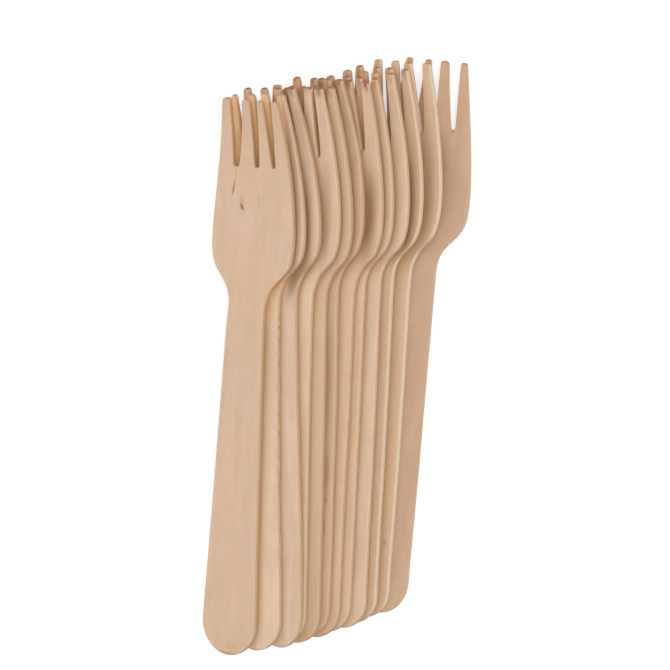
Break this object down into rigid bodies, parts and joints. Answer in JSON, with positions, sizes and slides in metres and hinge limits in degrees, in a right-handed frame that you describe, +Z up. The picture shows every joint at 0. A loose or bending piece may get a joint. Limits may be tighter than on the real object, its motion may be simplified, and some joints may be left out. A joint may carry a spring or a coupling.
{
  "type": "pack of wooden forks",
  "caption": "Pack of thin birch forks with pressed heads and rounded handles, fanned out and leaning on one another on a table.",
  "frame": {"origin": "on the table, under the middle of the pack", "axes": "+Y towards the tines, +Z up, +X towards the fork that lies flat"},
  "size_m": [0.0764, 0.1716, 0.0191],
  "materials": {
    "birch": "bare sanded veneer, dull, with fine lengthwise grain"
  },
  "bodies": {
    "root": {"fork_01": "birch", "fork_02": "birch", "fork_03": "birch", "fork_04": "birch", "fork_05": "birch", "fork_06": "birch", "fork_07": "birch", "fork_08": "birch", "fork_09": "birch", "fork_10": "birch", "fork_11": "birch", "fork_12": "birch"}
  },
  "joints": []
}
